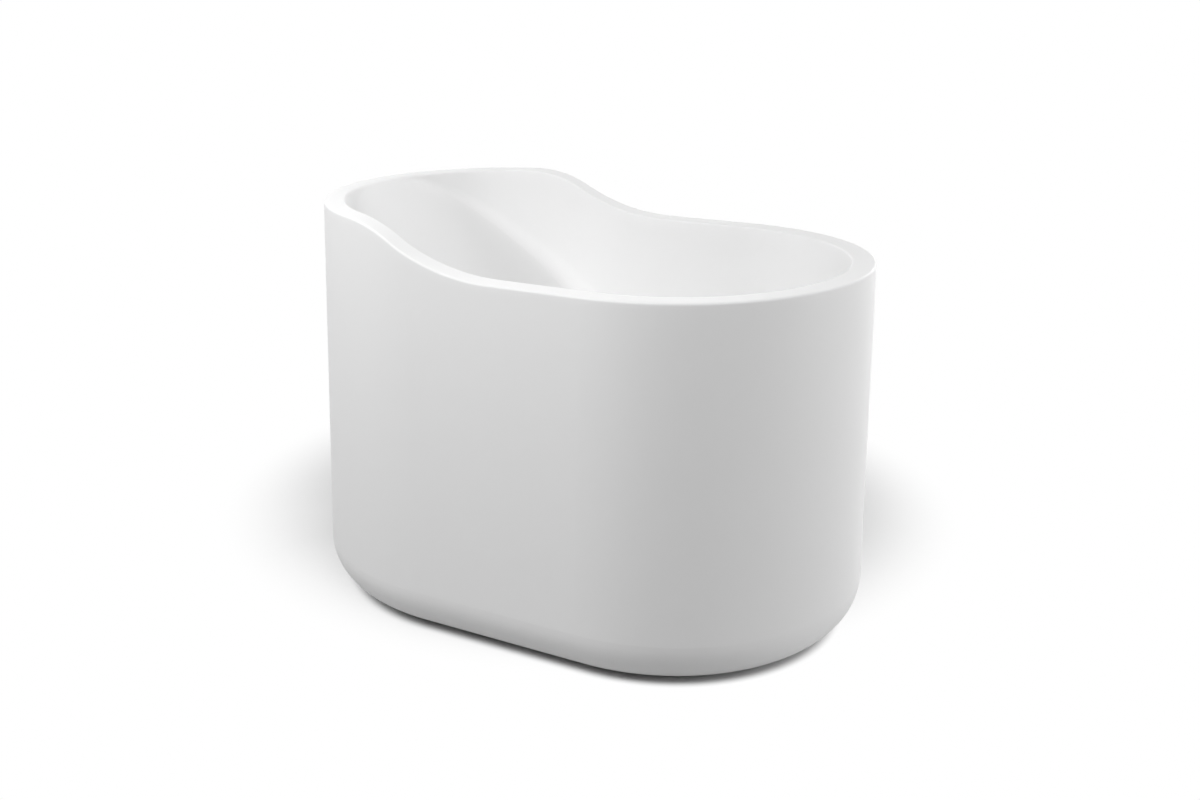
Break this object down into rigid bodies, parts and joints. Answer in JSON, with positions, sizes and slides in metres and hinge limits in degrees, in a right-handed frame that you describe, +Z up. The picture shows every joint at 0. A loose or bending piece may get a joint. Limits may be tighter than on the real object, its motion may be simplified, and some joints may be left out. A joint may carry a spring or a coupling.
{
  "type": "japanese soaking tub",
  "caption": "Free-standing deep soaking tub: stadium plan, rim that steps down to the low end, sloped backrest, seat, foot well, push waste and slot overflow.",
  "frame": {"origin": "on the floor, under the middle of the tub", "axes": "+X along the tub from the tall end to the low end with the waste, +Y to the left of a bather who leans on the backrest, +Z up"},
  "size_m": [1.2902, 0.8862, 0.908],
  "materials": {
    "cast_stone": "matte",
    "painted_steel": "satin",
    "hardwood": "sawn",
    "zinc_steel": "satin",
    "black_rubber": "matte",
    "black_nylon": "matte",
    "chromed_brass": "polished",
    "bare_brass": "turned",
    "white_plastic": "satin"
  },
  "bodies": {
    "tub": {"basin": "cast_stone", "outer_skirt": "cast_stone", "cross_tube_head": "painted_steel", "cross_tube_seat": "painted_steel", "long_tube_left": "painted_steel", "long_tube_right": "painted_steel", "seat_post_left": "painted_steel", "seat_post_right": "painted_steel", "well_bearer_left": "hardwood", "well_bearer_right": "hardwood", "frame_bolts": "zinc_steel", "frame_nuts": "zinc_steel", "skirt_screws": "zinc_steel", "foot_bushes": "zinc_steel", "foot_lock_nuts": "zinc_steel", "waste_flange": "chromed_brass", "waste_flange_seal": "black_rubber", "waste_gasket": "black_rubber", "waste_tee": "white_plastic", "plug_barrel": "bare_brass", "overflow_gasket": "black_rubber", "overflow_box": "white_plastic", "overflow_screws": "zinc_steel", "overflow_pipe": "white_plastic", "overflow_nut_top": "white_plastic", "overflow_nut_bottom": "white_plastic", "overflow_seal_top": "black_rubber", "overflow_seal_bottom": "black_rubber"},
    "plug": {"plug_cap": "chromed_brass", "plug_seal": "black_rubber"},
    "foot_1": {"foot_stud_1": "zinc_steel"},
    "pad_1": {"foot_pad_1": "black_nylon"},
    "foot_2": {"foot_stud_2": "zinc_steel"},
    "pad_2": {"foot_pad_2": "black_nylon"},
    "foot_3": {"foot_stud_3": "zinc_steel"},
    "pad_3": {"foot_pad_3": "black_nylon"},
    "foot_4": {"foot_stud_4": "zinc_steel"},
    "pad_4": {"foot_pad_4": "black_nylon"}
  },
  "joints": [
    {"name": "plug_lift", "type": "slide", "parent": "tub", "child": "plug", "axis": [0, 0, 1], "range_m": [0, 0.008]},
    {"name": "foot_1_height", "type": "slide", "parent": "tub", "child": "foot_1", "axis": [0, 0, -1], "range_m": [-0.003, 0.012]},
    {"name": "pad_1_swivel", "type": "hinge", "parent": "foot_1", "child": "pad_1", "pos_m": [-0.40883, -0.17355, 0.0095], "axis": [0, 0, 1], "continuous": true},
    {"name": "foot_2_height", "type": "slide", "parent": "tub", "child": "foot_2", "axis": [0, 0, -1], "range_m": [-0.003, 0.012]},
    {"name": "pad_2_swivel", "type": "hinge", "parent": "foot_2", "child": "pad_2", "pos_m": [-0.40883, 0.17355, 0.0095], "axis": [0, 0, 1], "continuous": true},
    {"name": "foot_3_height", "type": "slide", "parent": "tub", "child": "foot_3", "axis": [0, 0, -1], "range_m": [-0.003, 0.012]},
    {"name": "pad_3_swivel", "type": "hinge", "parent": "foot_3", "child": "pad_3", "pos_m": [0.40883, -0.17355, 0.0095], "axis": [0, 0, 1], "continuous": true},
    {"name": "foot_4_height", "type": "slide", "parent": "tub", "child": "foot_4", "axis": [0, 0, -1], "range_m": [-0.003, 0.012]},
    {"name": "pad_4_swivel", "type": "hinge", "parent": "foot_4", "child": "pad_4", "pos_m": [0.40883, 0.17355, 0.0095], "axis": [0, 0, 1], "continuous": true}
  ]
}
